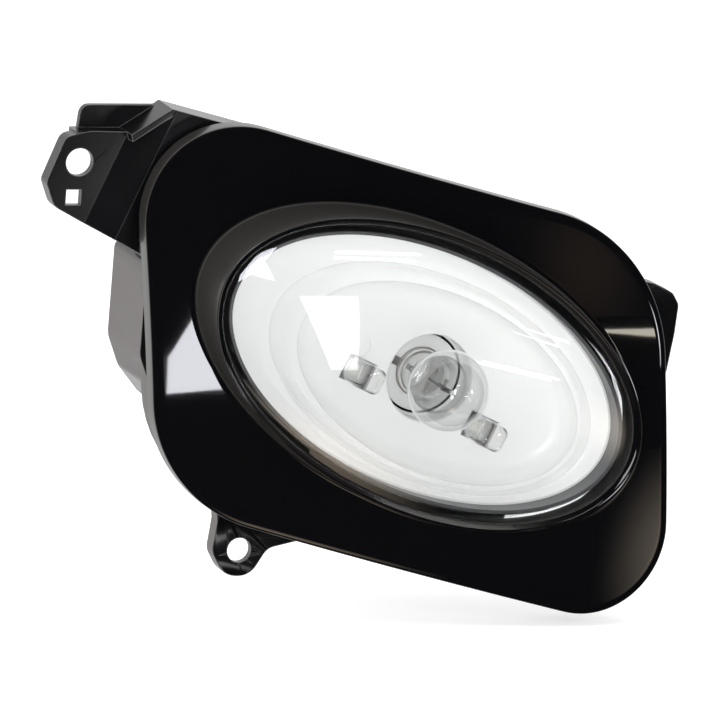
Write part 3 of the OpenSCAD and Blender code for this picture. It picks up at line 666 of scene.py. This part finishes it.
def soft_bowl():
    """White bowl: sagging dish, step, steep side, ledge, cove and floor, with its neck and skirt behind."""
    cove_a, cove_b, cove_r = 48.6, 27.2, 6.4
    neck_r, mouth_r = 13.5, 12.7
    mark_r, mark_depth, mark_away = 3.3, 1.2, 25
    rim = (66.2, 35.1, 0, 0, RIM_Y)
    step = (56, 31.2, STEP_U, STEP_V, STEP_Y)
    foot = (49.9, 28.5, BULB_U, BULB_V, BOWL_Y - 0.6)

    def between(first, last, share, bulge):
        """A station between two others, whose depth runs ahead of its width."""
        sunk = math.sin(math.radians(90 * share)) ** bulge
        level = tuple(p + (q - p) * share for p, q in zip(first[:4], last[:4]))
        return level + (first[4] + (last[4] - first[4]) * sunk,)

    def round_bulb(*widths_and_depths):
        """Stations whose middle is the bulb's."""
        return [(a, b, BULB_U, BULB_V, y) for a, b, y in widths_and_depths]

    dish = [between(rim, step, k / 12, 1) for k in range(13)]
    side = [(55.75, 31.0, 7.5, -1.82, STEP_Y + 0.15)]
    side += [between(step, foot, share, 0.9) for share in (0.08, 0.2, 0.35, 0.5, 0.65, 0.8, 0.92, 1)]
    ledge = round_bulb((49.2, 27.8, BOWL_Y - 0.62), (48.75, 27.35, BOWL_Y - 0.55), (48.6, 27.2, BOWL_Y - 0.3))
    cove = []
    for k in range(13):
        t = math.radians(k * 7.5)
        drawn_in, left = cove_r * (1 - math.cos(t)), cove_r * (1 - math.sin(t))
        cove += round_bulb((cove_a - drawn_in, cove_b - drawn_in, FLOOR_Y - left))
    floor_and_neck = round_bulb(
        (30, 18.5, FLOOR_Y), (14.4, 14.4, FLOOR_Y), (13.8, 13.8, FLOOR_Y + 0.1),
        (neck_r, neck_r, FLOOR_Y + 0.5), (neck_r, neck_r, 39.1), (mouth_r, mouth_r, 39.3),
        (mouth_r, mouth_r, 39.7))
    behind = round_bulb((15.3, 15.3, 39.7), (15.3, 15.3, 32.8), (44, 22.6, 32.8), (48.5, 27.1, 31),
                        (50.4, 29, 26.4))
    skirt = [(56.9, 32.1, STEP_U, STEP_V, 18.3), (66.7, 35.6, 0, 0, 18.3), (66.7, 35.6, 0, 0, 26),
             (SHROUD_A, SHROUD_B, 0, 0, 26)]
    edge = [(SHROUD_A, SHROUD_B, 0, 0, RIM_Y)]
    stations = edge + dish + side + ledge + cove + floor_and_neck + behind + skirt + edge
    bowl = drawn_through("bowl_shell", ovals(stations, 224))
    for u in BLOCK_U:
        without(bowl, box((9.7, 6, 8.2), (u, 31.5, BLOCK_V)))
    nothing_selected()
    mark = MM * Vector((BULB_U - mark_away, FLOOR_Y - 0.2, BULB_V))
    bpy.ops.mesh.primitive_cylinder_add(vertices=48, radius=MM * mark_r, depth=MM * mark_depth, location=mark,
                                        rotation=(math.pi / 2, 0, 0))
    bpy.ops.object.transform_apply()
    without(bowl, bpy.context.object)
    return finished(bowl, "reflector_white", "reflector", turn=OVAL)


# Bulb and light blocks

def bulb_glass():
    """Clear ball that draws in to a neck and a closed foot."""
    ball_r, ball_y, neck_r = 12.5, 14, 6.7
    profile = []
    for k in range(1, 25):
        t = math.radians(k * 5.6)
        profile.append((ball_r * math.sin(t), ball_y - ball_r * math.cos(t)))
    profile += [(8.9, ball_y + 10.6), (8.0, ball_y + 12.6), (7.3, ball_y + 15), (6.9, ball_y + 18),
                (neck_r, ball_y + 22), (neck_r, 42.4), (6.3, 42.8)]
    stations = [(r, r, BULB_U, BULB_V, y) for r, y in profile]
    piece = drawn_through("bulb_ball", ovals(stations, 96), closed=True)
    return finished(piece, "bulb_glass", "bulb_glass", turn=OVAL)


def light_block(name, u, node):
    """Clear block with rounded upright corners, a cut edge round its front and a foot behind the bowl."""
    corner_r, cut = 2.1, 0.5
    block = box((9.4, 12.8, 7.9), (u, 26.4, BLOCK_V))
    block.name = block.data.name = name
    editing(block)
    bpy.ops.mesh.select_all(action="DESELECT")
    # Only the four edges that run along the depth are rounded
    mesh = bmesh.from_edit_mesh(block.data)
    for edge in mesh.edges:
        way = (edge.verts[0].co - edge.verts[1].co).normalized()
        edge.select = abs(way.y) > 0.9
    bmesh.update_edit_mesh(block.data)
    bpy.ops.mesh.bevel(offset=MM * corner_r, segments=5, affect="EDGES")
    bpy.ops.object.mode_set(mode="OBJECT")
    applied(block, "BEVEL", width=MM * cut, segments=2, limit_method="ANGLE", angle_limit=math.radians(40))
    foot = box((12.8, 1.5, 11.3), (u, 33.55, BLOCK_V))
    applied(block, "BOOLEAN", operation="UNION", solver="EXACT", object=foot)
    bpy.data.objects.remove(foot)
    return finished(block, "clear_block", node, turn=OVAL)


# Moulded and metal pieces that keep the CAD shape, with softened edges

def softened(node, name, width):
    """A copy of a CAD node whose flat facets are joined again and whose edges are rounded a little."""
    source = nodes[node]
    nothing_selected()
    copy = source.copy()
    copy.data = source.data.copy()
    # What marks the CAD node as such does not go with its copy
    for key in list(copy.keys()):
        del copy[key]
    bpy.context.scene.collection.objects.link(copy)
    copy.parent = None
    copy.name = copy.data.name = name
    editing(copy)
    bpy.ops.mesh.select_all(action="SELECT")
    bpy.ops.mesh.remove_doubles(threshold=2e-6)
    bpy.ops.mesh.dissolve_limited(angle_limit=math.radians(0.6))
    bpy.ops.object.mode_set(mode="OBJECT")
    applied(copy, "BEVEL", width=MM * width, segments=2, limit_method="ANGLE", angle_limit=math.radians(35))
    finished(copy, SLOTS[node], node, smooth=35)
    applied(copy, "WEIGHTED_NORMAL", keep_sharp=True, weight=100)


bezel()
shroud()
soft_bowl()
# The clear pieces cast no shadow, or the many clear walls would darken the bowl
for piece in (lens(), bulb_glass(), light_block("block_left", BLOCK_U[0], "light_block_left"),
              light_block("block_right", BLOCK_U[1], "light_block_right")):
    piece.visible_shadow = False
for node, name, width in (
        ("mounting_carrier", "carrier_moulding", 0.3), ("rear_housing", "housing_moulding", 0.25),
        ("bulb_holder", "holder_moulding", 0.25), ("bulb_cap", "cap_sleeve", 0.2),
        ("vent_cap", "vent_moulding", 0.2)):
    softened(node, name, width)

for node, slot in SLOTS.items():
    nodes[node].data.materials.clear()
    nodes[node].data.materials.append(FINISHES[slot])


# Stage and lights

def glowing(name, colour, glow):
    """Finish that only gives light."""
    return Finish(name, (0, 0, 0), 1.0, Emission_Color=colour, Emission_Strength=glow)


def floor():
    """Pale floor under the part."""
    width, depth, gap = 5, 2.6, 0.004
    nothing_selected()
    bpy.ops.mesh.primitive_plane_add(size=1, location=(0.1, 0.8, cad_low.z - gap))
    sheet = bpy.context.object
    sheet.name = "floor"
    sheet.scale = (width, depth, 1)
    bpy.ops.object.transform_apply()
    finish = Finish("stage_white", (0.96, 0.96, 0.96), 0.9, Emission_Color=(1, 1, 1), Emission_Strength=0.5)
    sheet.data.materials.append(finish.material)
    sheet.visible_glossy = False


def room():
    """White behind the part and dark in front of it, as in a studio with a lit backdrop."""
    world = bpy.data.worlds.new("room")
    bpy.context.scene.world = world
    world.use_nodes = True
    sky = Tree(world.node_tree)
    backward = sky.add("SeparateXYZ", {}, [sky.add("TexCoord", output="Generated")], output="Y")
    shade = sky.add("ValToRGB", {"stops": ((0.0, (0.004, 0.004, 0.004)), (0.35, (1, 1, 1)))}, [backward])
    sky.join(world.node_tree.nodes["Background"].inputs["Color"], shade)


def soft_light(name, place, size, power):
    """A soft box that lights the part without showing in its gloss."""
    aim = Vector((0.1, 0, -0.06))
    data = bpy.data.lights.new(name, "AREA")
    data.shape, data.size, data.size_y = "RECTANGLE", size[0], size[1]
    data.energy = power
    lamp = bpy.data.objects.new(name, data)
    bpy.context.scene.collection.objects.link(lamp)
    lamp.location = place
    lamp.rotation_euler = (aim - Vector(place)).to_track_quat("-Z", "Y").to_euler()
    lamp.visible_glossy = False
    lamp.visible_camera = False


def panel(name, outline, colour, glow, depth=-1.2, soft=0.0):
    """A bright panel in the dark room, which shows in the gloss: an outline of X and Z at one depth."""
    nothing_selected()
    bpy.ops.mesh.primitive_circle_add(vertices=len(outline), fill_type="NGON")
    sheet = bpy.context.object
    sheet.name = name
    for vertex, (x, z) in zip(sheet.data.vertices, outline):
        vertex.co = (x, depth, z)
    finish = glowing(name, colour, glow)
    if soft:
        across, upward = (sum(p[k] for p in outline) / len(outline) for k in (0, 1))
        fade(finish, colour, (across, depth, upward), soft)
    sheet.data.materials.append(finish.material)
    sheet.visible_camera = sheet.visible_diffuse = sheet.visible_shadow = False


def fade(finish, colour, middle, furthest):
    """Lets a panel's light fall away from its middle."""
    away = finish.add("VectorMath", {"operation": "DISTANCE"}, [finish.place(), middle], output="Value")
    near = finish.add("MapRange", {"interpolation_type": "SMOOTHSTEP"},
                      {"Value": away, "From Min": furthest, "From Max": 0})
    finish.feed("Emission Color", finish.mixed(near, (0, 0, 0), colour))


def oblong(left, low, right, high):
    """Outline of an upright oblong panel."""
    return (left, low), (right, low), (right, high), (left, high)


WHITE, COOL, WARM = (1, 1, 1), (0.93, 0.93, 1.0), (1, 0.98, 0.95)

floor()
room()
soft_light("top", (0.1, -0.2, 1.0), (1.2, 1.0), 6)
soft_light("front", (0.0, -1.2, 0.1), (1.0, 1.0), 12)
soft_light("right", (1.1, -0.4, 0.2), (0.8, 0.8), 2)
soft_light("left", (-1.2, -0.5, 0.4), (0.8, 1.0), 10)

# Each panel lies where lines of sight to its highlight, mirrored by the face or the lens, meet its plane
panel("panel_left", ((-0.073, -0.033), (0.150, -0.008), (0.150, 0.290), (0.023, 0.290), (-0.021, 0.134),
                     (-0.075, 0.040)), COOL, 14)
panel("panel_window", ((0.085, -0.091), (0.100, -0.087), (0.108, -0.026), (0.074, -0.035)), WHITE, 5,
      depth=-0.16)
panel("strip_top", ((0.113, 0.0135), (0.178, 0.031), (0.178, 0.0335), (0.113, 0.0165)), WARM, 12,
      depth=-0.2)
panel("strip_thin", ((0.705, -0.162), (0.981, -0.158), (0.981, -0.150), (0.705, -0.150)), WHITE, 32)
panel("strip_right", ((0.917, 0.088), (1.116, 0.070), (1.117, 0.090), (0.918, 0.093)), (1, 0.92, 0.78), 8)
panel("strip_lilac", oblong(1.400, 0.000, 1.700, 0.250), COOL, 14, soft=0.26)
panel("glow_brown", oblong(0.650, 0.120, 1.150, 0.340), (1, 0.72, 0.5), 0.16, soft=0.22)
panel("beige_low", oblong(-0.400, -1.600, 0.500, -0.750), (1, 0.82, 0.62), 2.2, soft=0.5)
panel("beige_right", oblong(0.950, -0.650, 1.500, -0.180), (1, 0.86, 0.7), 1.6, soft=0.28)
